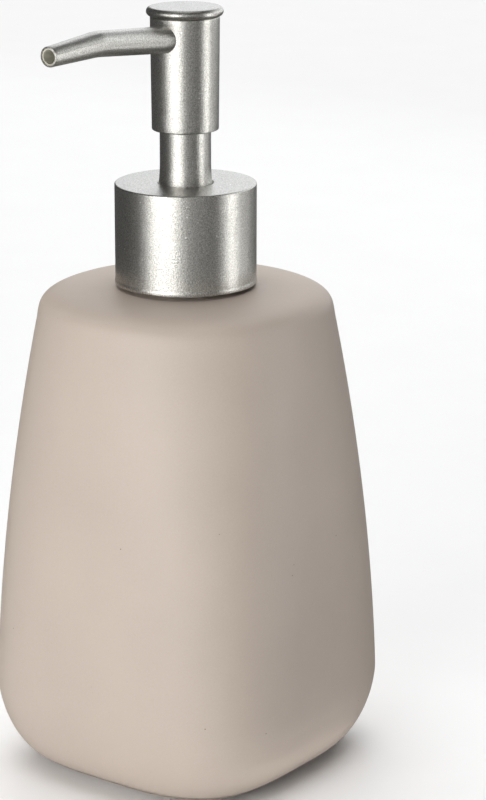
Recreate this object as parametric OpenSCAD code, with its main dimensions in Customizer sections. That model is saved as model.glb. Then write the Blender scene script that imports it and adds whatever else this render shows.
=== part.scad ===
// Ceramic soap and lotion dispenser with a screw-on pump.
// The bottle stands on z = 0, the pump's axis is z, and the spout points to -y.

/* [Ceramic bottle] */
// Half the bottle's width at its widest
belly_half = 38.7; // [37:0.1:44]
// Height of the widest place
belly_z = 20.3; // [17:0.1:28]
// Half the width where the shoulder begins to turn in
shoulder_half = 33.1; // [30:0.1:35]
// Height where the shoulder begins to turn in
shoulder_z = 106; // [102:0.5:106.5]
// Half the width of the turned-in base, just above the foot ring
base_half = 28.8; // [28:0.1:31]
// Height of the ceramic under the collar
land_z = 112.9; // [112:0.1:113.1]
// Radius of the ceramic under the collar's edge
land_r = 16.2; // [15.8:0.1:17]
// How the side falls from the belly to the shoulder: 1 is straight
side_bow = 1.95; // [1.4:0.01:2.2]
// How square the plan is low down: 2 is round, 4 nearly square
square_low = 3.4; // [2.6:0.05:3.8]
// How square the plan is at the shoulder
square_high = 2.15; // [2.05:0.05:2.6]
// How tight the shoulder's turn is
shoulder_turn = 5; // [3.6:0.1:5.4]
// How tight the base's turn is
base_turn = 1.77; // [1.6:0.01:2.2]
// Thickness of the ceramic
wall = 4; // [3.6:0.1:4.4]
// Height of the foot ring
foot_h = 1.2; // [0.8:0.1:1.6]
// Half the width of the foot ring
foot_half = 27.3; // [26.6:0.1:28.4]
// Width of the foot ring's flat
foot_w = 4.4; // [3:0.1:6]

/* [Neck and threads] */
// Outside diameter of the ceramic neck
neck_od = 22; // [21:0.1:22.6]
// Inside diameter of the ceramic neck
neck_id = 17; // [16.6:0.1:17.4]
// Height of the ceramic neck's top
neck_z = 128.6; // [127.6:0.1:129]
// Outside diameter of the neck ring, under its thread
ring_od = 25; // [24.6:0.1:25.2]
// Diameter over the neck ring's thread
thread_od = 27.2; // [26.8:0.1:27.3]
// Rise of the thread in one turn
pitch = 4.23; // [4:0.01:4.5]
// Turns of thread on the ring and in the closure
thread_turns = 1.25; // [1:0.05:1.3]

/* [Collar] */
// Outside diameter of the collar
collar_od = 32; // [31.8:0.1:33]
// Height of the collar's top
collar_z = 136.5; // [136.2:0.1:136.8]
// Height of the collar
collar_h = 22.7; // [22.5:0.1:22.9]
// Diameter of the hole round the chimney
collar_hole = 12.2; // [12.2:0.1:13]

/* [Pump] */
// Diameter of the chimney that the head slides over
chimney_d = 11.5; // [11.4:0.1:11.6]
// Height of the chimney's top
chimney_z = 150.8; // [150:0.1:151]
// Bore of the pump's housing
bore_d = 10.8; // [10.6:0.1:11]
// Outside diameter of the housing round its bore
housing_d = 13.4; // [13:0.1:13.8]
// Outside diameter of the hollow stem
stem_d = 6; // [5.8:0.1:6]
// Bore of the hollow stem
stem_bore = 3.2; // [3:0.1:3.4]
// Outside diameter of the dip tube
tube_d = 5.2; // [5:0.1:5.2]
// Height of the dip tube's lower end
tube_z = 9; // [8:0.5:14]
// How far the head travels when it is pressed
stroke = 11; // [9:0.5:11]
// Diameter of the inlet ball
ball_d = 4.8; // [4.7:0.05:4.8]
// Diameter of the outlet ball
outlet_d = 4; // [3.9:0.05:4]
// Diameter of the spring's wire
wire_d = 0.8; // [0.7:0.05:0.85]
// Turns of the spring
coils = 8; // [6:0.5:8]

/* [Head] */
// Diameter of the head at its top
head_top_d = 15.5; // [15.3:0.1:15.8]
// Diameter of the head at its lower edge
head_low_d = 15; // [14.9:0.1:15.3]
// Height of the head's lower edge
head_low_z = 148.6; // [148.4:0.1:149]
// Height of the head's top, under the cap
head_top_z = 173.9; // [173.8:0.1:174.4]
// Diameter of the cap
cap_d = 17.2; // [16.8:0.1:17.6]
// Thickness of the cap
cap_t = 2.1; // [1.6:0.1:2.3]
// Height of the spout where it leaves the head
spout_z = 169.5; // [169:0.1:169.5]
// How far from the axis the spout bends
bend_y = 31; // [28:0.5:33]
// How far from the axis the spout's mouth is
mouth_y = 46.8; // [44:0.1:48]
// Angle at which the spout rises to its bend
rise = 5; // [4:0.5:6]
// Angle at which it falls from the bend to its mouth
fall = 2.7; // [2:0.1:4]
// Diameter of the spout at the head
spout_root_d = 6; // [5.8:0.1:6]
// Diameter of the spout at its bend
spout_bend_d = 5.6; // [5.3:0.1:5.8]
// Diameter of the spout at its mouth
spout_mouth_d = 4.4; // [4.3:0.1:4.5]
// Thickness of the spout's metal at its mouth
spout_wall = 0.35; // [0.3:0.05:0.5]
// Thickness of the tube inside the spout
liner_wall = 0.25; // [0.2:0.05:0.4]

/* [Hidden] */
$fn = 96;
eps = 0.02;                                  // gap between pieces that are pressed together
run = 0.05;                                  // radial clearance of a running fit

// Heights of the stack of rings on the neck, from the bottom up
lip_z = neck_z + 1;                          // top of the neck ring's lip
gasket_z = lip_z + 1;                        // top of the gasket
flange_z = gasket_z + 1.2;                   // top of the housing's flange
chaplet_z = flange_z + 1.2;                  // top of the chaplet's flange
plate_z = chaplet_z + 0.05;                  // underside of the closure's plate
shell_z = collar_z - 1;                      // underside of the collar shell's plate
collar_low_z = collar_z - collar_h;

// Heights in the pump, at rest with the head up
guide_z = 121.5;                             // lower end of the chaplet, the piston's stop
seal_top_z = guide_z - 1.3;
seal_low_z = seal_top_z - 6.8;
retainer_z = seal_low_z - 1.45;              // lower face of the retainer, where the spring pushes
cage_top_z = 93;                             // where the spring stands
cage_low_z = 90.5;
seat_z = 86;                                 // edge that the inlet ball closes
tail_z = 75;                                 // lower end of the housing
core_low_z = chimney_z + stroke + 1.2;       // clears the chimney when the head is down
boss_z = 155.6;                              // lower end of the core's socket
outlet_seat_z = 157.2;
stem_top_z = 161.6;

// ---- Ceramic bottle ----

around = 64;                                 // points round the plan

// A rounded square of half-width a: n is 2 for a circle and grows with the squareness
function plan(a, n, t) =
    a / pow(pow(abs(cos(t)), n) + pow(abs(sin(t)), n), 1 / n) * [cos(t), sin(t)];

function side(z) =
    belly_half - (belly_half - shoulder_half)
        * pow(max(z - belly_z, 0) / (shoulder_z - belly_z), side_bow);

// The dome is a superellipse that passes through the land's edge
dome_end = pow(1 - pow(land_r / side(land_z), shoulder_turn), 1 / shoulder_turn);
dome_top = shoulder_z + (land_z - shoulder_z) / dome_end;

function half(z) =
    z < belly_z
        ? base_half + (belly_half - base_half)
            * pow(1 - pow((belly_z - z) / (belly_z - foot_h), base_turn), 1 / base_turn)
    : z <= shoulder_z ? side(z)
    : side(z) * pow(1 - pow((z - shoulder_z) / (dome_top - shoulder_z), shoulder_turn),
                    1 / shoulder_turn);

function squareness(z) =
    z <= belly_z ? square_low
    : z <= shoulder_z
        ? square_low + (square_high - square_low) * (z - belly_z) / (shoulder_z - belly_z)
    : 2 + (square_high - 2) * (1 - pow((z - shoulder_z) / (land_z - shoulder_z), 2));

function ring(a, n, z) =
    [for (i = [0 : around - 1]) let (p = plan(a, n, 360 * i / around)) [p[0], p[1], z]];

// Heights of the rings: close together where the outline turns
base_steps = 8;
side_steps = 6;
dome_steps = 9;
heights = concat(
    [for (i = [0 : base_steps - 1])
        belly_z - (belly_z - foot_h) * cos(90 * i / base_steps)],
    [for (i = [0 : side_steps - 1]) belly_z + (shoulder_z - belly_z) * i / side_steps],
    [for (i = [0 : dome_steps]) shoulder_z + (land_z - shoulder_z) * sin(90 * i / dome_steps)]
);

// The inside follows the outside at the wall's thickness, measured square to it
function slope(z) = (half(min(z + 0.01, land_z)) - half(max(z - 0.01, foot_h)))
    / (min(z + 0.01, land_z) - max(z - 0.01, foot_h));
function inner(z) = let (s = slope(z), k = wall / sqrt(1 + s * s)) [half(z) - k, z + s * k];
inner_heights = [for (i = [0 : len(heights) - 1]) if (i % 2 == 0 && i != 18 || i > 19) heights[i]];

// The hole in the dome lies inside the wall of the neck, which is added to it
hole_r = (neck_od + neck_id) / 4;
under_z = inner(land_z)[1];
skins = concat(
    [for (z = heights) ring(half(z), squareness(z), z)],
    [ring(hole_r, 2, land_z), ring(hole_r, 2, under_z)],
    [for (i = [len(inner_heights) - 1 : -1 : 0])
        let (p = inner(inner_heights[i])) ring(p[0], squareness(inner_heights[i]), p[1])]
);

module ceramic_bottle() {
    n = around;
    last = len(skins) - 1;
    color("#c3b2a1") {
        polyhedron(
            points = [for (s = skins) each s],
            faces = concat(
                [[for (i = [0 : n - 1]) i]],
                [for (k = [0 : last - 1]) for (i = [0 : n - 1]) each [
                    [k * n + i, k * n + n + i, k * n + (i + 1) % n],
                    [k * n + (i + 1) % n, k * n + n + i, k * n + n + (i + 1) % n]
                ]],
                [[for (i = [n - 1 : -1 : 0]) last * n + i]]
            )
        );
        // Neck, rounded a little at its top, and running into the dome from inside
        rotate_extrude() polygon([
            [neck_id / 2, under_z - 1], [hole_r + 0.6, under_z - 1], [neck_od / 2, under_z + 1],
            [neck_od / 2, neck_z - 0.5], [neck_od / 2 - 0.5, neck_z], [neck_id / 2, neck_z]
        ]);
        // Foot ring: the flat that it stands on
        linear_extrude(height = foot_h + 1) difference() {
            polygon([for (i = [0 : n - 1]) plan(foot_half, square_low, 360 * i / n)]);
            polygon([for (i = [0 : n - 1]) plan(foot_half - foot_w, square_low, 360 * i / n)]);
        }
    }
}

// ---- Threads ----

// A ridge wound round the z axis: root and crest are its radii, base and tip its widths
module ridge(root, crest, base, tip, start_a) {
    steps = ceil(thread_turns * 36);
    module slice(k) {
        rotate([0, 0, start_a + 360 * thread_turns * k / steps])
            translate([0, 0, land_z + 6 + pitch * thread_turns * k / steps]) rotate([90, 0, 0])
                linear_extrude(height = 0.02) polygon([
                    [root, -base / 2], [crest, -tip / 2], [crest, tip / 2], [root, base / 2]
                ]);
    }
    for (k = [0 : steps - 1]) hull() { slice(k); slice(k + 1); }
}

// Plastic ring glued over the ceramic neck
module neck_thread_ring() {
    color("#e9e7e1") {
        rotate_extrude() polygon([
            [neck_od / 2 + eps, land_z + 0.1], [ring_od / 2 + 0.9, land_z + 0.1],
            [ring_od / 2 + 0.9, land_z + 1.3], [ring_od / 2, land_z + 2],
            [ring_od / 2, lip_z - 0.5], [ring_od / 2 - 0.5, lip_z],
            [neck_id / 2 + 0.2, lip_z], [neck_id / 2 + 0.2, neck_z + eps],
            [neck_od / 2 + eps, neck_z + eps]
        ]);
        ridge(ring_od / 2 - 0.4, thread_od / 2, 1.9, 0.8, 20);
    }
}

module neck_gasket() {
    color("#d9d5cc") translate([0, 0, lip_z]) difference() {
        cylinder(h = gasket_z - lip_z, d = ring_od - 0.6);
        translate([0, 0, -1]) cylinder(h = gasket_z - lip_z + 2, d = neck_id + 0.4);
    }
}

// ---- Collar ----

module threaded_closure() {
    crest_r = thread_od / 2 + 0.17;
    inner_r = thread_od / 2 + 0.85;
    outer_r = collar_od / 2 - 0.9 - eps;
    color("#cfccc6") {
        rotate_extrude() polygon([
            [inner_r, collar_low_z + 0.6], [outer_r, collar_low_z + 0.6],
            [outer_r, shell_z - 0.6], [outer_r - 0.5, shell_z - 0.05],
            [collar_hole / 2 + 0.2, shell_z - 0.05], [collar_hole / 2 + 0.2, plate_z],
            [inner_r, plate_z]
        ]);
        ridge(inner_r + 0.25, crest_r, 1.9, 0.8, 20 + 180);
    }
}

module collar_shell() {
    r = collar_od / 2;
    t = 0.9;
    color("#b9b6b0") rotate_extrude() polygon([
        [r - t, collar_low_z], [r + 0.05, collar_low_z], [r + 0.1, collar_low_z + 0.35],
        [r, collar_low_z + 0.9], [r, collar_z - 0.35], [r - 0.35, collar_z],
        [collar_hole / 2 + 0.25, collar_z], [collar_hole / 2, collar_z - 0.25],
        [collar_hole / 2, shell_z], [r - t, shell_z]
    ]);
}

// ---- Pump, the parts that stay with the collar ----

module pump_housing() {
    top_r = neck_id / 2 - 0.7;
    r = housing_d / 2;
    b = bore_d / 2;
    socket_r = tube_d / 2 + eps;
    color("#eef0ee") difference() {
        rotate_extrude() polygon([
            [socket_r, tail_z], [socket_r + 1.2, tail_z], [socket_r + 1.5, seat_z - 3],
            [r - 1.4, cage_low_z - 3], [r, cage_low_z + 1.5], [r, guide_z - 5], [top_r, guide_z - 3],
            [top_r, gasket_z], [ring_od / 2 - 0.4, gasket_z], [ring_od / 2 - 0.4, flange_z],
            [b + 1.2, flange_z], [b + 1.2, guide_z], [b, guide_z - 0.1], [b, cage_low_z],
            [ball_d / 2 + 0.4, cage_low_z], [ball_d / 2 + 0.4, seat_z], [ball_d / 2 - 0.6, seat_z],
            [ball_d / 2 - 0.6, seat_z - 1.4], [socket_r, seat_z - 1.4]
        ]);
        // Vent that lets air into the bottle as it empties
        translate([0, 0, guide_z + 4]) rotate([0, 90, 0]) cylinder(h = 20, d = 1.2, $fn = 24);
    }
}

module chaplet() {
    plug_r = bore_d / 2 + 1.2 - eps;
    guide_r = stem_d / 2 + run;
    tube_r = chimney_d / 2 - 0.6;
    color("#e4e2dc") rotate_extrude() polygon([
        [guide_r, guide_z], [plug_r - 0.6, guide_z], [plug_r, guide_z + 0.6],
        [plug_r, flange_z + eps], [ring_od / 2 - 0.5, flange_z + eps],
        [ring_od / 2 - 0.5, chaplet_z], [tube_r, chaplet_z], [tube_r, chimney_z - 0.6],
        [tube_r - 0.9, chimney_z - 0.6], [tube_r - 0.9, flange_z - 1.5],
        [guide_r, flange_z - 3]
    ]);
}

// Bright sleeve over the chaplet, flared at its foot and turned in over its top
module chimney_sleeve() {
    r = chimney_d / 2;
    in_r = r - 0.6 + eps;
    color("#b9b6b0") rotate_extrude() polygon([
        [in_r, chaplet_z + eps], [r + 0.26, chaplet_z + eps], [r + 0.26, collar_z],
        [r + 0.19, collar_z + 0.5], [r + 0.1, collar_z + 1.5], [r + 0.03, collar_z + 3.2],
        [r, collar_z + 5], [r, chimney_z - 0.4], [r - 0.4, chimney_z],
        [r - 1.5, chimney_z], [r - 1.5, chimney_z - 0.6 + eps], [in_r, chimney_z - 0.6 + eps]
    ]);
}

// Ring that keeps the inlet ball down, and that the spring stands on
module ball_cage() {
    ring_r = bore_d / 2 - eps;
    hole_r = ball_d / 2 + 0.3;
    color("#e4e2dc") {
        translate([0, 0, cage_low_z]) difference() {
            cylinder(h = cage_top_z - cage_low_z, r = ring_r);
            translate([0, 0, -1]) cylinder(h = 5, r = hole_r);
        }
        for (a = [0, 90]) rotate([0, 0, a])
            translate([-hole_r - 0.4, -0.5, cage_top_z - 1.1]) cube([2 * hole_r + 0.8, 1, 1.1]);
    }
}

// A ball resting on the round edge of a seat of radius e at height z
function ball_z(r, e, z) = z + sqrt(r * r - e * e) + 0.01;

module inlet_ball() {
    r = ball_d / 2;
    color("#c9ccd0") translate([0, 0, ball_z(r, r - 0.6, seat_z)]) sphere(r = r);
}

module dip_tube() {
    r = tube_d / 2;
    top = seat_z - 1.4 - eps;
    color("#f1f3f1") difference() {
        translate([0, 0, tube_z]) difference() {
            cylinder(h = top - tube_z, r = r);
            translate([0, 0, -1]) cylinder(h = top - tube_z + 2, r = r - 0.85);
        }
        // Slanted cut, so that the tube can't seal itself on the floor
        translate([0, 0, tube_z]) rotate([0, -40, 0]) translate([-10, -10, -20])
            cube([20, 20, 20 - 1.6]);
    }
}

// ---- Pump, the parts that go up and down ----

// A coil with a closed turn at each end and open turns between them
module return_spring() {
    coil_r = bore_d / 2 - 1.2;
    steps = coils * 18;
    sides = 8;
    low = cage_top_z + wire_d / 2 + 0.02;
    high = retainer_z - wire_d / 2 - 0.02;
    ends = 1.2 * wire_d;                     // rise of each closed end turn
    function up(u) = let (e = 1 / coils)
        u < e ? low + ends * u / e
        : u > 1 - e ? high - ends * (1 - u) / e
        : low + ends + (high - low - 2 * ends) * (u - e) / (1 - 2 * e);
    color("#b4b7bb") polyhedron(
        points = [for (k = [0 : steps]) for (j = [0 : sides - 1])
            let (u = k / steps, a = 360 * coils * u, q = 360 * j / sides,
                 r = coil_r + wire_d / 2 * cos(q))
                [r * cos(a), r * sin(a), up(u) + wire_d / 2 * sin(q)]],
        faces = concat(
            [[for (j = [0 : sides - 1]) j]],
            [for (k = [0 : steps - 1]) for (j = [0 : sides - 1])
                let (m = (j + 1) % sides, q = sides * k) each [
                    [q + j, q + sides + j, q + m], [q + m, q + sides + j, q + sides + m]
                ]],
            [[for (j = [sides - 1 : -1 : 0]) sides * steps + j]]
        )
    );
}

// Cup seal with a lip at each end that wipes the bore
module piston_seal() {
    lip_r = bore_d / 2 - run;
    in_r = stem_d / 2 + run;
    mid = (seal_low_z + seal_top_z) / 2;
    color("#f4f4f0") rotate_extrude() polygon([
        [in_r, seal_low_z + run], [in_r + 0.9, seal_low_z + run], [lip_r - 0.5, seal_low_z + 0.4],
        [lip_r, seal_low_z + 0.4], [lip_r, seal_low_z + 0.8], [in_r + 1.1, mid - 0.9],
        [in_r + 1.1, mid + 0.9], [lip_r, seal_top_z - 0.8], [lip_r, seal_top_z - 0.4],
        [lip_r - 0.5, seal_top_z - 0.4], [in_r + 0.9, seal_top_z - run], [in_r, seal_top_z - run]
    ]);
}

// Pressed up into the stem: keeps the seal on, and takes the spring's push
module seal_retainer() {
    color("#e4e2dc") translate([0, 0, retainer_z]) difference() {
        union() {
            cylinder(h = seal_low_z - retainer_z, r = bore_d / 2 - 0.5);
            cylinder(h = seal_low_z - retainer_z + 5, r = stem_bore / 2 - eps);
        }
        translate([0, 0, -1]) cylinder(h = 12, r = stem_bore / 2 - 0.6);
    }
}

module piston_stem() {
    r = stem_d / 2;
    b = stem_bore / 2;
    counter_r = outlet_d / 2 + 0.2;
    color("#f1f3f1") rotate_extrude() polygon([
        [b, seal_low_z], [r, seal_low_z], [r, seal_top_z], [r + 1, seal_top_z],
        [r + 1, guide_z - 0.1], [r, guide_z - 0.1], [r, stem_top_z], [counter_r, stem_top_z],
        [counter_r, outlet_seat_z], [b, outlet_seat_z]
    ]);
}

module outlet_ball() {
    r = outlet_d / 2;
    color("#c9ccd0") translate([0, 0, ball_z(r, stem_bore / 2, outlet_seat_z)]) sphere(r = r);
}

// ---- Head ----

// Plastic core: socket for the stem below, socket for the spout in front
module actuator_core() {
    core_r = head_low_d / 2 - 0.8 - eps;
    color("#dcd9d2") difference() {
        union() {
            translate([0, 0, core_low_z]) cylinder(h = head_top_z - 1 - core_low_z, r = core_r);
            translate([0, 0, boss_z]) cylinder(h = core_low_z - boss_z + 1, r = stem_d / 2 + 0.9);
        }
        translate([0, 0, boss_z - 1])
            cylinder(h = stem_top_z - boss_z + 1 + eps, r = stem_d / 2 + eps);
        // Way up from the stem, narrow enough to stop the outlet ball
        cylinder(h = spout_z, r = stem_bore / 2);
        in_spout_frame() {
            translate([0, 0, 4.5]) cylinder(h = 10, r = spout_root_d / 2 + eps);
            cylinder(h = 6, r = stem_bore / 2 - 0.1);
        }
    }
}

module head_barrel() {
    low_r = head_low_d / 2;
    top_r = head_top_d / 2;
    skirt_r = chimney_d / 2 + 0.22;
    core_r = head_low_d / 2 - 0.8;
    color("#b9b6b0") difference() {
        rotate_extrude() polygon([
            [skirt_r + 0.3, head_low_z], [low_r - 0.3, head_low_z], [low_r, head_low_z + 0.3],
            [top_r, head_top_z - 0.2], [top_r - 0.25, head_top_z], [core_r, head_top_z],
            [core_r, core_low_z - eps], [skirt_r, core_low_z - eps], [skirt_r, head_low_z + 0.3]
        ]);
        in_spout_frame() translate([0, 0, 4]) cylinder(h = 10, r = spout_root_d / 2 + eps);
    }
}

module top_cap() {
    r = cap_d / 2;
    e = cap_t / 2;
    plug_r = head_low_d / 2 - 0.8 - eps;
    color("#b9b6b0") rotate_extrude() {
        // Bullnose edge: half a circle as thick as the cap
        translate([r - e, head_top_z + eps + e]) intersection() {
            circle(r = e);
            translate([0, -e]) square([e, 2 * e]);
        }
        translate([0, head_top_z + eps]) square([r - e + 0.001, cap_t]);
        translate([0, head_top_z - 0.9]) square([plug_r, 0.92 + eps]);
    }
}

// Frame of the spout's first stretch: its z runs outward along it from the pump's axis
module in_spout_frame() {
    translate([0, 0, spout_z - tan(rise) * head_top_d / 2]) rotate([90 - rise, 0, 0]) children();
}

// The spout's centre line, by the distance y from the pump's axis: it rises to the bend and
// falls from there, with a short rounded turn between
turn_y = 1.6;                                // half the length of the turn
function line_angle(y) =
    y < bend_y - turn_y ? rise
    : y > bend_y + turn_y ? -fall
    : rise - (rise + fall) * (y - bend_y + turn_y) / (2 * turn_y);
function line_z(y) =
    spout_z + tan(rise) * (min(y, bend_y) - head_top_d / 2) - tan(fall) * max(y - bend_y, 0)
        - (abs(y - bend_y) < turn_y
            ? (tan(rise) + tan(fall)) / (4 * turn_y) * pow(turn_y - abs(y - bend_y), 2) : 0);

// A ring of points of radius r round the centre line
function line_ring(y, r, sides) = let (a = line_angle(y))
    [for (j = [0 : sides - 1]) let (q = 360 * j / sides)
        [r * cos(q), -y + r * sin(q) * sin(a), line_z(y) + r * sin(q) * cos(a)]];

// A closed skin through rings, the last joined to the first
module pipe(rings, sides) {
    n = len(rings);
    polyhedron(
        points = [for (g = rings) each g],
        faces = [for (k = [0 : n - 1]) for (j = [0 : sides - 1])
            let (m = (j + 1) % sides, a = sides * k, b = sides * ((k + 1) % n)) each [
                [a + j, a + m, b + j], [a + m, b + m, b + j]
            ]]
    );
}

turn_steps = [for (i = [-2 : 2]) bend_y + turn_y * i / 2];
function spout_r(y) = y < bend_y
    ? (spout_root_d + (spout_bend_d - spout_root_d) * max(y - head_top_d / 2, 0)
        / (bend_y - head_top_d / 2)) / 2
    : (spout_bend_d + (spout_mouth_d - spout_bend_d) * (y - bend_y) / (mouth_y - bend_y)) / 2;

module spout() {
    b = spout_mouth_d / 2 - spout_wall;
    sides = 48;
    outer = [for (y = concat([4.8, head_top_d / 2], turn_steps, [mouth_y - 0.3]))
        line_ring(y, spout_r(y), sides)];
    color("#b9b6b0") pipe(concat(
        outer,
        [line_ring(mouth_y, spout_mouth_d / 2 - 0.15, sides), line_ring(mouth_y, b, sides)],
        [for (y = concat([for (i = [4 : -1 : 0]) turn_steps[i]], [4.8])) line_ring(y, b, sides)]
    ), sides);
}

// Thin tube inside the spout, seen as the inner ring at its mouth
module spout_liner() {
    r = spout_mouth_d / 2 - spout_wall - 0.03;
    sides = 32;
    ys = concat([5], turn_steps, [mouth_y - 0.35]);
    color("#8f8b84") pipe(concat(
        [for (y = ys) line_ring(y, r, sides)],
        [for (i = [len(ys) - 1 : -1 : 0]) line_ring(ys[i], r - liner_wall, sides)]
    ), sides);
}

ceramic_bottle();
neck_thread_ring();
neck_gasket();
threaded_closure();
collar_shell();
pump_housing();
chaplet();
chimney_sleeve();
ball_cage();
inlet_ball();
dip_tube();
return_spring();
piston_seal();
seal_retainer();
piston_stem();
outlet_ball();
actuator_core();
head_barrel();
top_cap();
spout();
spout_liner();
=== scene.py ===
"""Looks for a ceramic soap dispenser: a satin ceramic bottle and a satin nickel pump, with plain
plastic inside."""

import math

import bmesh
import bpy
from mathutils import Matrix, Vector


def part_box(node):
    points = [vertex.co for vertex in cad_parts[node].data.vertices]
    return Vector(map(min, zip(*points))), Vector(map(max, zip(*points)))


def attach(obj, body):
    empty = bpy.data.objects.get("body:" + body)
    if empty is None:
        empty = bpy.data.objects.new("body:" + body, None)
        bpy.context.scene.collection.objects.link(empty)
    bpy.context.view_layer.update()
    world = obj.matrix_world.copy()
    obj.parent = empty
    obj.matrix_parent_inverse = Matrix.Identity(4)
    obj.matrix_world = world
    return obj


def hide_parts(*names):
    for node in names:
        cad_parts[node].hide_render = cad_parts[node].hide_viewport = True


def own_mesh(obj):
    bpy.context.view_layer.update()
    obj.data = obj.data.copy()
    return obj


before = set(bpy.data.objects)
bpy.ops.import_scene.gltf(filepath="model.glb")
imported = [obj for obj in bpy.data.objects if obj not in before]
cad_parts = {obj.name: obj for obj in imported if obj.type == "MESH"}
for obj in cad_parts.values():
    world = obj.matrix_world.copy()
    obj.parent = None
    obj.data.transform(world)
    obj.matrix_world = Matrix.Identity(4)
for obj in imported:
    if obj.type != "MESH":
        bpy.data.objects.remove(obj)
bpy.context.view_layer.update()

MM = 0.001

# ---------------------------------------------------------------- camera

VIEW_AZIMUTH = math.radians(37.5)
CAMERA_REACH = 0.620
CAMERA_HEIGHT = 0.265
CAMERA_PITCH = math.radians(16.14)
CAMERA_ROLL = math.radians(-0.25)
LENS_MM = 84.4
SENSOR_HEIGHT_MM = 24
SHIFT_RIGHT = 0.0706


def from_camera_side(azimuth, distance, height):
    """A place round the object. Azimuth 0 is the camera's side, and positive is to its right."""
    a = VIEW_AZIMUTH + math.radians(azimuth)
    return Vector((math.sin(a) * distance, -math.cos(a) * distance, height))


cam_data = bpy.data.cameras.new("camera")
cam_data.sensor_fit = "VERTICAL"
cam_data.sensor_height = SENSOR_HEIGHT_MM
cam_data.lens = LENS_MM
cam_data.shift_x = SHIFT_RIGHT
cam_data.clip_start = 0.01
camera = bpy.data.objects.new("camera", cam_data)
bpy.context.scene.collection.objects.link(camera)
camera.location = from_camera_side(0, CAMERA_REACH, CAMERA_HEIGHT)
camera.rotation_euler = (Matrix.Rotation(VIEW_AZIMUTH, 3, "Z")
                         @ Matrix.Rotation(math.pi / 2 - CAMERA_PITCH, 3, "X")
                         @ Matrix.Rotation(CAMERA_ROLL, 3, "Z")).to_euler()
bpy.context.scene.camera = camera

# ---------------------------------------------------------------- mesh helpers

SMOOTH_DEGREES = 35
ARC_DEGREES = 12  # between two points of a rounded corner
TURNED_SIDES = 144
MERGE = 1e-7  # for the points that a turned outline has on the axis
QUARTER_TURN = [math.pi / 12 * k for k in range(7)]


def new_piece(name, bm, smooth_angle=SMOOTH_DEGREES):
    """A mesh object from bm, smooth except where its faces meet at more than smooth_angle."""
    bmesh.ops.recalc_face_normals(bm, faces=bm.faces)
    mesh = bpy.data.meshes.new(name)
    bm.to_mesh(mesh)
    bm.free()
    for p in mesh.polygons:
        p.use_smooth = True
    mesh.set_sharp_from_angle(angle=math.radians(smooth_angle))
    piece = bpy.data.objects.new(name, mesh)
    bpy.context.scene.collection.objects.link(piece)
    return piece


def rounded(corners):
    """A closed outline from corners (x, y, radius): each corner with a radius becomes an arc."""
    out = []
    n = len(corners)
    for i, (x, y, radius) in enumerate(corners):
        here = Vector((x, y))
        if radius <= 0:
            out.append(here)
            continue
        back = (Vector(corners[i - 1][:2]) - here).normalized()
        on = (Vector(corners[(i + 1) % n][:2]) - here).normalized()
        half = back.angle(on) / 2
        reach = radius / math.tan(half)
        centre = here + (back + on).normalized() * (radius / math.sin(half))
        a, b = here + back * reach - centre, here + on * reach - centre
        turn = a.angle_signed(b)
        count = max(2, round(abs(math.degrees(turn)) / ARC_DEGREES))
        for k in range(count + 1):
            t = -turn * k / count
            c, s = math.cos(t), math.sin(t)
            out.append(centre + Vector((a.x * c - a.y * s, a.x * s + a.y * c)))
    return [(p.x, p.y) for p in out]


def skin(bm, rings, closed_loop=False):
    """Quads between neighbouring rings of vertices. In a closed loop the last ring meets the
    first."""
    m = len(rings[0])
    pairs = list(zip(rings, rings[1:])) + ([(rings[-1], rings[0])] if closed_loop else [])
    for a, b in pairs:
        for j in range(m):
            bm.faces.new([a[j], a[(j + 1) % m], b[(j + 1) % m], b[j]])


def close_ends(bm, rings):
    """A face on the first ring and one on the last."""
    bm.faces.new(rings[0])
    bm.faces.new(rings[-1])


def turn_round(bm, outline):
    """Turns a closed outline of (radius, height) pairs round the z axis."""
    rings = [[bm.verts.new((r * math.cos(a), r * math.sin(a), z)) for r, z in outline]
             for a in (2 * math.pi * k / TURNED_SIDES for k in range(TURNED_SIDES))]
    skin(bm, rings, closed_loop=True)


def lathe(name, outline):
    """A piece turned from an outline, which may touch the z axis."""
    bm = bmesh.new()
    turn_round(bm, outline)
    bmesh.ops.remove_doubles(bm, verts=bm.verts, dist=MERGE)
    return new_piece(name, bm)


def cut(piece, cutter):
    """Takes cutter out of piece, and removes it."""
    mod = piece.modifiers.new("hole", "BOOLEAN")
    mod.object = cutter
    mod.operation = "DIFFERENCE"
    mod.solver = "EXACT"
    bpy.context.view_layer.update()
    shape = bpy.data.meshes.new_from_object(
        piece.evaluated_get(bpy.context.evaluated_depsgraph_get())
    )
    piece.modifiers.clear()
    shape.set_sharp_from_angle(angle=math.radians(SMOOTH_DEGREES))
    piece.data = shape
    bpy.data.objects.remove(cutter)


# ---------------------------------------------------------------- materials


def shader(name, base, roughness, metallic=0.0, **sockets):
    """A principled material and its nodes. Further sockets are set by name."""
    mat = bpy.data.materials.new(name)
    mat.use_nodes = True
    nodes = mat.node_tree.nodes
    bsdf = next(n for n in nodes if n.type == "BSDF_PRINCIPLED")
    bsdf.inputs["Base Color"].default_value = (*base, 1)
    bsdf.inputs["Roughness"].default_value = roughness
    bsdf.inputs["Metallic"].default_value = metallic
    for key, value in sockets.items():
        bsdf.inputs[key.replace("_", " ")].default_value = value
    return mat, nodes, mat.node_tree.links, bsdf


def coords(nodes):
    return nodes.new("ShaderNodeTexCoord").outputs["Object"]


def noise(nodes, links, vector, scale, detail, rough=0.5):
    n = nodes.new("ShaderNodeTexNoise")
    n.inputs["Scale"].default_value = scale
    n.inputs["Detail"].default_value = detail
    n.inputs["Roughness"].default_value = rough
    links.new(vector, n.inputs["Vector"])
    return n.outputs["Fac"]


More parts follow.
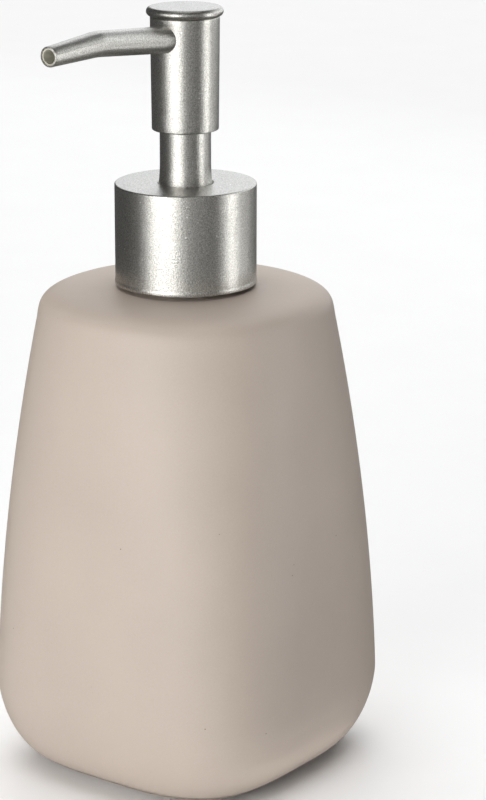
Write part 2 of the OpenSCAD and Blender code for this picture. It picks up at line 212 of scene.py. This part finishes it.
def ramp(nodes, links, fac, stops):
    """A colour ramp; each stop is (position, colour or grey)."""
    r = nodes.new("ShaderNodeValToRGB")
    els = r.color_ramp.elements
    while len(els) < len(stops):
        els.new(0.5)
    for el, (pos, col) in zip(els, stops):
        el.position = pos
        el.color = (*col, 1) if isinstance(col, tuple) else (col, col, col, 1)
    links.new(fac, r.inputs["Fac"])
    return r.outputs["Color"]


def spread(nodes, links, fac, low, high, start=0.0, end=1.0):
    """Maps start..end to low..high, and holds low and high beyond them."""
    m = nodes.new("ShaderNodeMapRange")
    m.inputs["From Min"].default_value = start
    m.inputs["From Max"].default_value = end
    m.inputs["To Min"].default_value = low
    m.inputs["To Max"].default_value = high
    links.new(fac, m.inputs["Value"])
    return m.outputs["Result"]


def multiply_add(nodes, links, value, factor, addend):
    m = nodes.new("ShaderNodeMath")
    m.operation = "MULTIPLY_ADD"
    links.new(value, m.inputs[0])
    m.inputs[1].default_value = factor
    links.new(addend, m.inputs[2])
    return m.outputs[0]


def mix(nodes, links, fac, a, b, blend="MIX"):
    """Blends a and b, which are sockets or colours, by fac, a socket or a number."""
    m = nodes.new("ShaderNodeMix")
    m.data_type = "RGBA"
    m.blend_type = blend
    for socket, value in ((m.inputs[0], fac), (m.inputs[6], a), (m.inputs[7], b)):
        if isinstance(value, (float, int)):
            socket.default_value = value
        elif isinstance(value, tuple):
            socket.default_value = (*value, 1)
        else:
            links.new(value, socket)
    return m.outputs[2]


def bump(nodes, links, height, distance, strength, bsdf, below=None):
    """Bumps the surface by height, on top of the bumps in below."""
    b = nodes.new("ShaderNodeBump")
    b.inputs["Distance"].default_value = distance
    b.inputs["Strength"].default_value = strength
    links.new(height, b.inputs["Height"])
    if below is not None:
        links.new(below, b.inputs["Normal"])
    links.new(b.outputs["Normal"], bsdf.inputs["Normal"])
    return b.outputs["Normal"]


def rare_dots(nodes, links, vector, scale, radii, rarity):
    """A mask of soft round dots of the given inner and outer radii, in cells of 1 / scale;
    the share of cells without a dot is the rarity."""
    cells = nodes.new("ShaderNodeTexVoronoi")
    cells.inputs["Scale"].default_value = scale
    links.new(vector, cells.inputs["Vector"])
    dot = ramp(nodes, links, cells.outputs["Distance"], [(radii[0], 1.0), (radii[1], 0.0)])
    split = nodes.new("ShaderNodeSeparateColor")
    links.new(cells.outputs["Color"], split.inputs["Color"])
    chosen = ramp(nodes, links, split.outputs["Red"], [(rarity, 0.0), (rarity + 0.01, 1.0)])
    return mix(nodes, links, 1.0, dot, chosen, "MULTIPLY")


def ceramic_material():
    """Matt satin glaze over a greige body, with faint clouding, pinholes and an unglazed foot."""
    mat, nodes, links, bsdf = shader("greige_glaze", (0.44, 0.372, 0.318), 0.5,
                                     Specular_IOR_Level=0.4)
    at = coords(nodes)
    clouds = noise(nodes, links, at, 38, 3)
    tone = ramp(nodes, links, clouds, [(0.3, (0.425, 0.359, 0.307)), (0.7, (0.455, 0.385, 0.329))])
    grain = noise(nodes, links, at, 2600, 2)
    mottle = ramp(nodes, links, grain, [(0.35, (0.37, 0.31, 0.265)), (0.65, (0.50, 0.425, 0.36))])
    tone = mix(nodes, links, 0.10, tone, mottle)
    # Pinholes: a few tiny dark dots
    holes = rare_dots(nodes, links, at, 400, (0.04, 0.07), 0.94)
    tone = mix(nodes, links, holes, tone, (0.17, 0.13, 0.10))
    # The foot's flat is left without glaze: paler, dry clay
    height = nodes.new("ShaderNodeSeparateXYZ")
    links.new(at, height.inputs["Vector"])
    wavy_height = multiply_add(nodes, links, noise(nodes, links, at, 160, 2), 0.5 * MM,
                               height.outputs["Z"])
    bare = spread(nodes, links, wavy_height, 1.0, 0.0, 0.25 * MM, 0.75 * MM)
    clay = ramp(nodes, links, grain, [(0.3, (0.50, 0.45, 0.38)), (0.7, (0.64, 0.58, 0.50))])
    links.new(mix(nodes, links, bare, tone, clay), bsdf.inputs["Base Color"])
    satin = spread(nodes, links, noise(nodes, links, at, 420, 3), 0.46, 0.54)
    links.new(multiply_add(nodes, links, bare, 0.4, satin), bsdf.inputs["Roughness"])
    soft = bump(nodes, links, noise(nodes, links, at, 55, 2), 0.6 * MM, 0.10, bsdf)
    bump(nodes, links, noise(nodes, links, at, 1500, 2), 0.03 * MM, 0.35, bsdf, soft)
    return mat


def nickel_material():
    """Satin nickel on moulded plastic: a fine blasted grain that sparkles a little."""
    mat, nodes, links, bsdf = shader("satin_nickel", (0.50, 0.49, 0.465), 0.35, 1.0)
    at = coords(nodes)
    grain = noise(nodes, links, at, 4200, 2, 0.7)
    tone = ramp(nodes, links, grain, [(0.36, (0.32, 0.313, 0.288)), (0.64, (0.69, 0.68, 0.64))])
    nibs = rare_dots(nodes, links, at, 400, (0.05, 0.08), 0.5)
    links.new(mix(nodes, links, nibs, tone, (0.9, 0.9, 0.88)), bsdf.inputs["Base Color"])
    rough = spread(nodes, links, noise(nodes, links, at, 900, 3), 0.30, 0.40)
    links.new(rough, bsdf.inputs["Roughness"])
    pitted = bump(nodes, links, noise(nodes, links, at, 3400, 1), 0.05 * MM, 0.9, bsdf)
    bump(nodes, links, grain, 0.02 * MM, 0.8, bsdf, pitted)
    return mat


def plastic_material(name, base, roughness, **sockets):
    """Moulded plastic: slight mottling and a fine spark-eroded skin."""
    mat, nodes, links, bsdf = shader(name, base, roughness, **sockets)
    at = coords(nodes)
    cloud = noise(nodes, links, at, 150, 3)
    low, high = tuple(c * 0.94 for c in base), tuple(min(1, c * 1.04) for c in base)
    links.new(ramp(nodes, links, cloud, [(0.3, low), (0.7, high)]), bsdf.inputs["Base Color"])
    links.new(spread(nodes, links, noise(nodes, links, at, 700, 2), roughness - 0.05,
                     roughness + 0.06), bsdf.inputs["Roughness"])
    bump(nodes, links, noise(nodes, links, at, 2200, 2), 0.02 * MM, 0.4, bsdf)
    return mat


def steel_material():
    """Drawn stainless steel: fine lines along z and a little tint."""
    mat, nodes, links, bsdf = shader("stainless_steel", (0.62, 0.62, 0.63), 0.24, 1.0)
    at = coords(nodes)
    lines = noise(nodes, links, at, 3000, 2)
    links.new(ramp(nodes, links, lines, [(0.3, (0.52, 0.52, 0.53)), (0.7, (0.68, 0.68, 0.69))]),
              bsdf.inputs["Base Color"])
    links.new(spread(nodes, links, lines, 0.18, 0.30), bsdf.inputs["Roughness"])
    bump(nodes, links, lines, 0.01 * MM, 0.3, bsdf)
    return mat


CERAMIC = ceramic_material()
NICKEL = nickel_material()
STEEL = steel_material()
MOULDED = plastic_material("moulded_plastic", (0.80, 0.78, 0.74), 0.42)
NATURAL = plastic_material("natural_plastic", (0.84, 0.85, 0.83), 0.33,
                           Subsurface_Weight=0.25, Subsurface_Scale=0.002)
RUBBER = plastic_material("gasket_foam", (0.66, 0.64, 0.60), 0.75)
LINER = plastic_material("liner_plastic", (0.50, 0.485, 0.41), 0.5)


def dress(piece, material):
    piece.data.materials.clear()
    piece.data.materials.append(material)


def finish(piece, material, body, replaced):
    """Dresses a new piece, hangs it on its body and lets it stand for a CAD node."""
    dress(piece, material)
    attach(piece, body)
    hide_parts(replaced)


# ---------------------------------------------------------------- bottle
# The same driving sizes as the CAD bottle, in metres, with a finer skin and softened edges.

BELLY_HALF = (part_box("ceramic_bottle")[1].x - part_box("ceramic_bottle")[0].x) / 2
NECK_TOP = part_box("ceramic_bottle")[1].z
BELLY_Z = 20.3 * MM
SHOULDER_HALF = 33.1 * MM
SHOULDER_Z = 106 * MM
BASE_HALF = 28.8 * MM
LAND_Z = 112.9 * MM
LAND_R = 16.2 * MM
SIDE_BOW = 1.95
SQUARE_LOW = 3.4
SQUARE_HIGH = 2.15
SHOULDER_TURN = 5.0
BASE_TURN = 1.77
WALL = 4 * MM
FOOT_H = 1.2 * MM
FOOT_HALF = 27.3 * MM
FOOT_W = 4.4 * MM
FOOT_ROUND = 0.35 * MM
NECK_R = 11 * MM
NECK_BORE = 8.5 * MM
NECK_FILLET = 0.8 * MM
RIM_ROUND = 0.7 * MM
BOTTLE_SIDES = 192
BOTTLE_STEPS = 26  # up the base, up the side and over the shoulder
SLOPE_STEP = 1e-5
ROUND = 2  # the squareness of a circle


def side(z):
    """Half the bottle's width at height z, without the rounds of the base and the shoulder."""
    t = max(z - BELLY_Z, 0) / (SHOULDER_Z - BELLY_Z)
    return BELLY_HALF - (BELLY_HALF - SHOULDER_HALF) * t**SIDE_BOW


# The shoulder's curve would close at DOME_TOP. The land cuts it off where it is LAND_R wide.
DOME_END = (1 - (LAND_R / side(LAND_Z)) ** SHOULDER_TURN) ** (1 / SHOULDER_TURN)
DOME_TOP = SHOULDER_Z + (LAND_Z - SHOULDER_Z) / DOME_END


def half(z):
    """Half the bottle's width at height z."""
    if z < BELLY_Z:
        u = (BELLY_Z - z) / (BELLY_Z - FOOT_H)
        return BASE_HALF + (BELLY_HALF - BASE_HALF) * max(1 - u**BASE_TURN, 0) ** (1 / BASE_TURN)
    if z <= SHOULDER_Z:
        return side(z)
    v = (z - SHOULDER_Z) / (DOME_TOP - SHOULDER_Z)
    return side(z) * (1 - v**SHOULDER_TURN) ** (1 / SHOULDER_TURN)


def squareness(z):
    """The exponent of the plan's superellipse at height z."""
    if z <= BELLY_Z:
        return SQUARE_LOW
    if z <= SHOULDER_Z:
        t = (z - BELLY_Z) / (SHOULDER_Z - BELLY_Z)
        return SQUARE_LOW + (SQUARE_HIGH - SQUARE_LOW) * t
    t = (z - SHOULDER_Z) / (LAND_Z - SHOULDER_Z)
    return ROUND + (SQUARE_HIGH - ROUND) * (1 - t**2)


def inner(z):
    """The inside's half-width and height, at the wall's thickness from the outside at z."""
    a, b = max(z - SLOPE_STEP, FOOT_H), min(z + SLOPE_STEP, LAND_Z)
    s = (half(b) - half(a)) / (b - a)
    k = WALL / math.sqrt(1 + s * s)
    return half(z) - k, z + s * k


def make_bottle():
    """The bottle's skin as rings of (half-width, squareness, height), from the middle of its
    underside up its outside, over the neck's rim and down its inside."""
    n = BOTTLE_STEPS
    bend = [math.pi / 2 * i / n for i in range(n + 1)]
    heights = [BELLY_Z - (BELLY_Z - FOOT_H) * math.cos(a) for a in bend[1:-1]]
    heights += [BELLY_Z + (SHOULDER_Z - BELLY_Z) * i / n for i in range(n)]
    heights += [SHOULDER_Z + (LAND_Z - SHOULDER_Z) * math.sin(a) for a in bend]
    # Foot: from the recess under the base, round the ring's flat, up to the body's base
    foot_in = FOOT_HALF - FOOT_W
    r, bevel = FOOT_ROUND, 0.3 * MM
    rings = [(foot_in * 0.4, SQUARE_LOW, FOOT_H), (foot_in - 0.8 * MM, SQUARE_LOW, FOOT_H),
             (foot_in - 0.1 * MM, SQUARE_LOW, FOOT_H - bevel)]
    rings += [(foot_in + r * (1 - math.cos(a)), SQUARE_LOW, r * (1 - math.sin(a)))
              for a in QUARTER_TURN]
    rings += [(FOOT_HALF - r * (1 - math.sin(a)), SQUARE_LOW, r * (1 - math.cos(a)))
              for a in QUARTER_TURN]
    rings += [(FOOT_HALF, SQUARE_LOW, FOOT_H - bevel), (FOOT_HALF + bevel, SQUARE_LOW, FOOT_H),
              (BASE_HALF, SQUARE_LOW, FOOT_H)]
    rings += [(half(z), squareness(z), z) for z in heights]
    # Land under the collar, neck and its rim
    rings += [(NECK_R + NECK_FILLET, ROUND, LAND_Z),
              (NECK_R + 0.25 * MM, ROUND, LAND_Z + 0.2 * MM),
              (NECK_R, ROUND, LAND_Z + NECK_FILLET)]
    r = RIM_ROUND
    rings += [(NECK_R - r * (1 - math.cos(a)), ROUND, NECK_TOP - r * (1 - math.sin(a)))
              for a in QUARTER_TURN]
    rings += [(NECK_BORE + r * (1 - math.sin(a)), ROUND, NECK_TOP - r * (1 - math.cos(a)))
              for a in QUARTER_TURN]
    # Inside: the neck's bore opens into the shoulder with a small round
    ceiling = inner(LAND_Z)[1]
    rings += [(NECK_BORE, ROUND, ceiling + 1.5 * MM),
              (NECK_BORE + 0.3 * MM, ROUND, ceiling + 0.4 * MM),
              (NECK_BORE + 1.2 * MM, ROUND, ceiling)]
    lining = []
    for z in heights[2::2]:
        w, h = inner(z)
        # The shoulder turns tighter than the wall is thick, so the inside cuts its corner
        if z < SHOULDER_Z or (w < lining[-1][0] and h > lining[-1][2]):
            lining.append((w, squareness(z), h))
    rings += reversed(lining)
    rings.append((rings[-1][0] * 0.5, SQUARE_LOW, rings[-1][2]))
    bm = bmesh.new()
    loops = []
    for w, power, z in rings:
        loop = []
        for i in range(BOTTLE_SIDES):
            t = 2 * math.pi * i / BOTTLE_SIDES
            c, s = math.cos(t), math.sin(t)
            k = w / (abs(c) ** power + abs(s) ** power) ** (1 / power)
            loop.append(bm.verts.new((k * c, k * s, z)))
        loops.append(loop)
    skin(bm, loops)
    for loop in (loops[0], loops[-1]):
        mid = bm.verts.new((0, 0, loop[0].co.z))
        for i in range(BOTTLE_SIDES):
            bm.faces.new((loop[i], loop[(i + 1) % BOTTLE_SIDES], mid))
    return new_piece("ceramic_body", bm, smooth_angle=50)


bottle = make_bottle()
finish(bottle, CERAMIC, "bottle", "ceramic_bottle")

# ---------------------------------------------------------------- bright shells


def cad_size(node):
    """Outer radius, lowest and highest z of a node turned round the pump's axis."""
    lo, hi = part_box(node)
    return (hi.x - lo.x) / 2, lo.z, hi.z


# Collar: thin lip at its foot, bright edge at its top, bevelled hole round the chimney
COLLAR_HOLE = 6.1 * MM
COLLAR_WALL = 0.9 * MM
COLLAR_PLATE = 1 * MM
lip_r, low, high = cad_size("collar_shell")
collar_r = lip_r - 0.1 * MM
collar = lathe("collar_cover", rounded([
    (collar_r - COLLAR_WALL, low, 0.1 * MM), (lip_r, low, 0.15 * MM),
    (lip_r, low + 0.6 * MM, 0.2 * MM), (collar_r, low + 1.1 * MM, 0.5 * MM),
    (collar_r, high, 0.32 * MM), (COLLAR_HOLE + 0.3 * MM, high, 0.15 * MM),
    (COLLAR_HOLE, high - 0.3 * MM, 0.1 * MM), (COLLAR_HOLE, high - COLLAR_PLATE, 0),
    (collar_r - COLLAR_WALL, high - COLLAR_PLATE, 0),
]))
finish(collar, NICKEL, "collar", "collar_shell")

# Chimney: flares out towards the collar, turned in at its top
FLARE = 0.26 * MM
FLARE_HEIGHT = 5 * MM
FLARE_STEPS = 8
CHIMNEY_WALL = 0.58 * MM
CHIMNEY_LIP = 1.5 * MM
flare_r, low, high = cad_size("chimney_sleeve")
tube_r = flare_r - FLARE
collar_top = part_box("collar_shell")[1].z
flare = [(tube_r + FLARE * (1 - i / FLARE_STEPS) ** 2,
          collar_top + FLARE_HEIGHT * i / FLARE_STEPS) for i in range(FLARE_STEPS + 1)]
chimney = lathe("chimney_tube", [(tube_r - CHIMNEY_WALL, low), (flare_r, low)] + flare + rounded([
    (tube_r, high - 1 * MM, 0), (tube_r, high, 0.3 * MM), (tube_r - CHIMNEY_LIP, high, 0.1 * MM),
    (tube_r - CHIMNEY_LIP, high - CHIMNEY_WALL, 0), (tube_r - CHIMNEY_WALL, high - CHIMNEY_WALL, 0),
]))
finish(chimney, NICKEL, "pump_body", "chimney_sleeve")

# Head: a barrel with a little draft, thick in the skirt that slides over the chimney
DRAFT = 0.25 * MM
BARREL_WALL = 0.8 * MM
SKIRT_BORE = 5.97 * MM
SIDE_RINGS = 24
top_r, low, high = cad_size("head_barrel")
low_r = top_r - DRAFT
thin_r = low_r - BARREL_WALL
skirt_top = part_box("actuator_core")[0].z + 7.4 * MM
outside = rounded([
    (SKIRT_BORE, low, 0.25 * MM), (low_r, low, 0.3 * MM), (top_r, high, 0.25 * MM),
    (thin_r, high, 0.1 * MM), (thin_r, skirt_top, 0), (SKIRT_BORE, skirt_top, 0),
])
# Rings up the barrel's side keep its shading true round the hole that is cut for the spout
top_turn = next(i for i, p in enumerate(outside) if p[1] > (low + high) / 2)
(r0, z0), (r1, z1) = outside[top_turn - 1], outside[top_turn]
rings_up = [(r0 + (r1 - r0) * i / SIDE_RINGS, z0 + (z1 - z0) * i / SIDE_RINGS)
            for i in range(1, SIDE_RINGS)]
head = lathe("head_shell", outside[:top_turn] + rings_up + outside[top_turn:])

# Cap: a disc with a full round edge, and a plug into the barrel
cap_r, low, high = cad_size("top_cap")
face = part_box("head_barrel")[1].z + 0.02 * MM
plug_r = low_r - 0.82 * MM
edge = (high - face) / 2
cap = lathe("head_cap", [(0, low), (plug_r, low), (plug_r, face), (cap_r - edge, face)] + [
    (cap_r - edge + edge * math.sin(a), face + edge - edge * math.cos(a))
    for a in (math.pi * k / 18 for k in range(1, 18))
] + [(cap_r - edge, high), (cap_r * 0.5, high), (0, high)])
finish(cap, NICKEL, "head", "top_cap")

# ---------------------------------------------------------------- spout

RISE = math.radians(5)
FALL = math.radians(2.7)
BEND_Y = 31 * MM
TURN = 1.3 * MM
SPOUT_Z = 169.5 * MM
MOUTH_Y = -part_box("spout")[0].y
ROOT_D, BEND_D, MOUTH_D = 6 * MM, 5.6 * MM, 4.4 * MM
SPOUT_WALL, LINER_WALL = 0.35 * MM, 0.25 * MM
PARTING = math.radians(15)
RIDGE = 0.05 * MM
RIDGE_NARROWNESS = 14
HEAD_FRONT = top_r


def line_angle(y):
    """How steeply the spout's centre line climbs at y."""
    if y < BEND_Y - TURN:
        return RISE
    if y > BEND_Y + TURN:
        return -FALL
    return RISE - (RISE + FALL) * (y - BEND_Y + TURN) / (2 * TURN)


def line_point(y):
    """A point of the spout's centre line, y in front of the pump's axis."""
    z = SPOUT_Z + math.tan(RISE) * (min(y, BEND_Y) - HEAD_FRONT)
    z -= math.tan(FALL) * max(y - BEND_Y, 0)
    if abs(y - BEND_Y) < TURN:
        z -= (math.tan(RISE) + math.tan(FALL)) / (4 * TURN) * (TURN - abs(y - BEND_Y)) ** 2
    return Vector((0, -y, z))


def spout_radius(y):
    """The spout narrows a little up to its bend, and more beyond it."""
    if y < BEND_Y:
        t = max(y - HEAD_FRONT, 0) / (BEND_Y - HEAD_FRONT)
        return (ROOT_D + (BEND_D - ROOT_D) * t) / 2
    return (BEND_D + (MOUTH_D - BEND_D) * (y - BEND_Y) / (MOUTH_Y - BEND_Y)) / 2


def tube(name, outer, bore, sides, ridge=0.0):
    """A tube along the spout's line. outer and bore list (y, radius). ridge is the height of the
    parting line, which runs along the outside on both flanks."""
    bm = bmesh.new()
    loops = []
    for y, r in outer + bore:
        a = line_angle(y)
        up = Vector((0, math.sin(a), math.cos(a)))
        mid = line_point(y)
        seam = ridge if (y, r) in outer else 0
        loop = []
        for j in range(sides):
            q = 2 * math.pi * j / sides
            rr = r + seam * max(0, 1 - abs(math.sin(q - PARTING)) * RIDGE_NARROWNESS)
            loop.append(bm.verts.new(mid + Vector((1, 0, 0)) * rr * math.cos(q)
                                     + up * rr * math.sin(q)))
        loops.append(loop)
    skin(bm, loops, closed_loop=True)
    return new_piece(name, bm, smooth_angle=40)


def steps(a, b, n):
    """n equal steps from a to b, both ends included."""
    return [a + (b - a) * i / n for i in range(n + 1)]


bore_r = MOUTH_D / 2 - SPOUT_WALL
along = (steps(4.8 * MM, HEAD_FRONT, 2) + steps(HEAD_FRONT + 1 * MM, BEND_Y - TURN, 10)
         + steps(BEND_Y - TURN * 0.8, BEND_Y + TURN * 0.8, 8)
         + steps(BEND_Y + TURN, MOUTH_Y - 0.4 * MM, 8))
lip = 0.16 * MM
mouth = [(MOUTH_Y - 0.3 * MM + lip * math.sin(a), MOUTH_D / 2 - lip * (1 - math.cos(a)))
         for a in QUARTER_TURN]
spout = tube("spout_arm", [(y, spout_radius(y)) for y in along] + mouth,
             [(MOUTH_Y - 0.12 * MM, bore_r + 0.02 * MM), (MOUTH_Y - 0.3 * MM, bore_r)]
             + [(y, bore_r) for y in reversed(along)], sides=144, ridge=RIDGE)
finish(spout, NICKEL, "head", "spout")

liner_r = bore_r - 0.03 * MM
liner_y = steps(5 * MM, BEND_Y - TURN, 6) + steps(BEND_Y - TURN / 2, BEND_Y + TURN, 4) + steps(
    BEND_Y + 4 * MM, MOUTH_Y - 0.35 * MM, 4)
liner = tube("spout_lining", [(y, liner_r) for y in liner_y],
             [(y, liner_r - LINER_WALL) for y in reversed(liner_y)], sides=48)
finish(liner, LINER, "head", "spout_liner")

# Hole in the head for the spout
drill_r = ROOT_D / 2 + 0.02 * MM
bm = bmesh.new()
bmesh.ops.create_cone(bm, segments=72, radius1=drill_r, radius2=drill_r, depth=8 * MM,
                      cap_ends=True)
drill = new_piece("drill", bm)
drill.matrix_world = Matrix.Translation(line_point(HEAD_FRONT)) @ Matrix.Rotation(
    math.pi / 2 - RISE, 4, "X")
cut(head, drill)
finish(head, NICKEL, "head", "head_barrel")

# ---------------------------------------------------------------- threads

PITCH = 4.23 * MM
THREAD_TURNS = 1.25
THREAD_Z = LAND_Z + 6 * MM
RING_R = 12.5 * MM
THREAD_R = 13.6 * MM
THREAD_STEPS = 110
THREAD_RUN_OUT = 14  # the ridge fades over 1 / 14 of its length at each end
THREAD_TWEEN = 0.8  # where the flank bends, as a share of the ridge's height
THREAD_HALF_WIDTHS = (0.95 * MM, 0.55 * MM, 0.38 * MM)  # at the wall, the bend and the crest


def thread(bm, root, crest, start_angle):
    """A ridge wound round the z axis that rises out of the wall at both its ends."""
    wall, bend, tip = THREAD_HALF_WIDTHS
    loops = []
    for k in range(THREAD_STEPS + 1):
        u = k / THREAD_STEPS
        a = math.radians(start_angle) + 2 * math.pi * THREAD_TURNS * u
        z = THREAD_Z + PITCH * THREAD_TURNS * u
        ease = min(1, min(u, 1 - u) * THREAD_RUN_OUT)
        ease = ease * ease * (3 - 2 * ease)
        top = root + (crest - root) * ease
        # Rounded trapezium: wide at the wall, narrow at the crest
        flank = root + (top - root) * THREAD_TWEEN
        shape = [(root, -wall), (flank, -bend), (top, -tip), (top, tip), (flank, bend),
                 (root, wall)]
        loops.append([bm.verts.new((r * math.cos(a), r * math.sin(a), z + dz))
                      for r, dz in shape])
    skin(bm, loops)
    close_ends(bm, loops)


def turned_with_thread(name, outline, root, crest, start_angle):
    bm = bmesh.new()
    turn_round(bm, outline)
    thread(bm, root, crest, start_angle)
    return new_piece(name, bm, smooth_angle=40)


# Ring: glued over the neck, with a wider foot and a lid over the neck's rim
GLUE = 0.01 * MM
_, low, high = cad_size("neck_thread_ring")
foot_r, lid_r = RING_R + 0.9 * MM, NECK_BORE + 0.2 * MM
ring = turned_with_thread("neck_ring", rounded([
    (NECK_R + GLUE, low, 0), (foot_r, low, 0.2 * MM), (foot_r, low + 1.2 * MM, 0.3 * MM),
    (RING_R, low + 2 * MM, 0.6 * MM), (RING_R, high, 0.5 * MM), (lid_r, high, 0.2 * MM),
    (lid_r, NECK_TOP + GLUE, 0), (NECK_R + GLUE, NECK_TOP + GLUE, 0),
]), RING_R - 0.1 * MM, THREAD_R, 20)
finish(ring, MOULDED, "bottle", "neck_thread_ring")

# Closure: a nut whose plate has a hole for the chimney
out_r, low, high = cad_size("threaded_closure")
in_r = THREAD_R + 0.85 * MM
hole_r = COLLAR_HOLE + 0.2 * MM
plate = high - 2.1 * MM
closure = turned_with_thread("closure_inner", rounded([
    (in_r, low, 0.15 * MM), (out_r, low, 0.15 * MM), (out_r, high, 0.4 * MM),
    (hole_r, high, 0.1 * MM), (hole_r, plate, 0.1 * MM), (in_r, plate, 0.3 * MM),
]), in_r + 0.1 * MM, THREAD_R + 0.17 * MM, 200)
finish(closure, MOULDED, "collar", "threaded_closure")

# ---------------------------------------------------------------- spring

WIRE_R = 0.4 * MM
WIRE_SIDES = 12
COIL_R = 4.2 * MM
COILS = 8
COIL_STEPS = 48
END_RISE = 1.2 * 2 * WIRE_R  # how far each end turn climbs
_, low, high = cad_size("return_spring")


def make_spring():
    """A wire wound with closed turns at both ends."""
    count = COILS * COIL_STEPS
    first, last = low + WIRE_R, high - WIRE_R
    e = 1 / COILS
    bm = bmesh.new()
    loops = []
    for k in range(count + 1):
        u = k / count
        if u < e:
            z = first + END_RISE * u / e
        elif u > 1 - e:
            z = last - END_RISE * (1 - u) / e
        else:
            z = first + END_RISE + (last - first - 2 * END_RISE) * (u - e) / (1 - 2 * e)
        a = 2 * math.pi * COILS * u
        loop = []
        for j in range(WIRE_SIDES):
            q = 2 * math.pi * j / WIRE_SIDES
            r = COIL_R + WIRE_R * math.cos(q)
            loop.append(bm.verts.new((r * math.cos(a), r * math.sin(a), z + WIRE_R * math.sin(q))))
        loops.append(loop)
    skin(bm, loops)
    close_ends(bm, loops)
    return new_piece("spring_coil", bm, smooth_angle=60)


spring = make_spring()
finish(spring, STEEL, "pump_body", "return_spring")
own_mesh(spring)

# ---------------------------------------------------------------- carried-over CAD parts

for node, material in {
    "neck_gasket": RUBBER, "pump_housing": NATURAL, "chaplet": MOULDED, "ball_cage": MOULDED,
    "inlet_ball": STEEL, "outlet_ball": STEEL, "dip_tube": NATURAL, "piston_seal": NATURAL,
    "seal_retainer": MOULDED, "piston_stem": NATURAL, "actuator_core": MOULDED,
}.items():
    dress(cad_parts[node], material)

# ---------------------------------------------------------------- floor and light


def pale_floor():
    """An almost white floor that throws no reflection onto the metal."""
    bm = bmesh.new()
    bmesh.ops.create_grid(bm, x_segments=8, y_segments=8, size=6)
    floor = new_piece("floor", bm)
    mat, nodes, links, bsdf = shader("pale_floor", (0.93, 0.93, 0.93), 0.7)
    at = coords(nodes)
    links.new(ramp(nodes, links, noise(nodes, links, at, 30, 2),
                   [(0.3, (0.925, 0.925, 0.925)), (0.7, (0.935, 0.935, 0.935))]),
              bsdf.inputs["Base Color"])
    floor.data.materials.append(mat)
    floor.visible_glossy = False


pale_floor()


def softbox(name, azimuth, distance, height, width, tall, radiance, colour=(1, 1, 1),
            up=0, matt=True, gloss=True):
    """A soft panel that faces the pump's axis, or straight up (1) or down (-1). matt and gloss
    say whether it lights what is matt, and whether it shows in what is glossy."""
    data = bpy.data.lights.new(name, "AREA")
    data.shape = "RECTANGLE"
    data.size, data.size_y = width, tall
    data.energy = radiance * math.pi * width * tall
    data.color = colour
    lamp = bpy.data.objects.new(name, data)
    bpy.context.scene.collection.objects.link(lamp)
    lamp.location = from_camera_side(azimuth, distance, height)
    aim = Vector((0, 0, up)) if up else -Vector((lamp.location.x, lamp.location.y, 0))
    lamp.rotation_euler = aim.to_track_quat("-Z", "Y").to_euler()
    lamp.visible_camera = False
    lamp.visible_diffuse = matt
    lamp.visible_glossy = gloss


# What lights the glaze: the key from the left, then fills for the front, the right and the base
softbox("key", -35, 0.45, 0.18, 0.38, 0.36, 3.8)
softbox("wrap", -2, 0.60, 0.20, 0.40, 0.40, 0.72, gloss=False)
softbox("bounce", 20, 0.22, 0.003, 0.50, 0.28, 0.35, up=1, gloss=False)
softbox("underside", 52.5, 0.052, 0.003, 0.03, 0.06, 0.6, up=1, gloss=False)
# What only shows as a mirror image: the bright stripe on the right, then the surroundings
softbox("rim", 77, 0.34, 0.15, 0.055, 0.30, 6.7, matt=False)
softbox("fill", 15, 0.50, 0.20, 0.40, 0.40, 0.33, matt=False)
softbox("back", 145, 0.80, 0.42, 1.60, 0.62, 1.3, (0.94, 0.97, 1.0), matt=False)
softbox("sky", 176, 0.80, 1.00, 0.45, 0.90, 1.15, (0.95, 0.95, 1.0), matt=False)
softbox("zenith", 180, 0.1, 1.8, 1.0, 1.0, 0.7, up=-1, matt=False)
softbox("side", 112, 0.60, 0.36, 0.40, 0.60, 0.45, matt=False)
softbox("table", 106, 0.378, 0.003, 0.15, 0.34, 1.6, up=1, matt=False)
# A wide soft sky for the floor and the tops
softbox("overhead", 180, 1.4, 2.6, 3.8, 3.8, 2.5, up=-1, gloss=False)
WORLD_STRENGTH = 0.09
world = bpy.data.worlds.new("studio")
world.use_nodes = True
background = world.node_tree.nodes["Background"]
background.inputs["Color"].default_value = (1.0, 1.0, 1.0, 1)
background.inputs["Strength"].default_value = WORLD_STRENGTH
bpy.context.scene.world = world
bpy.context.scene.view_settings.view_transform = "Standard"
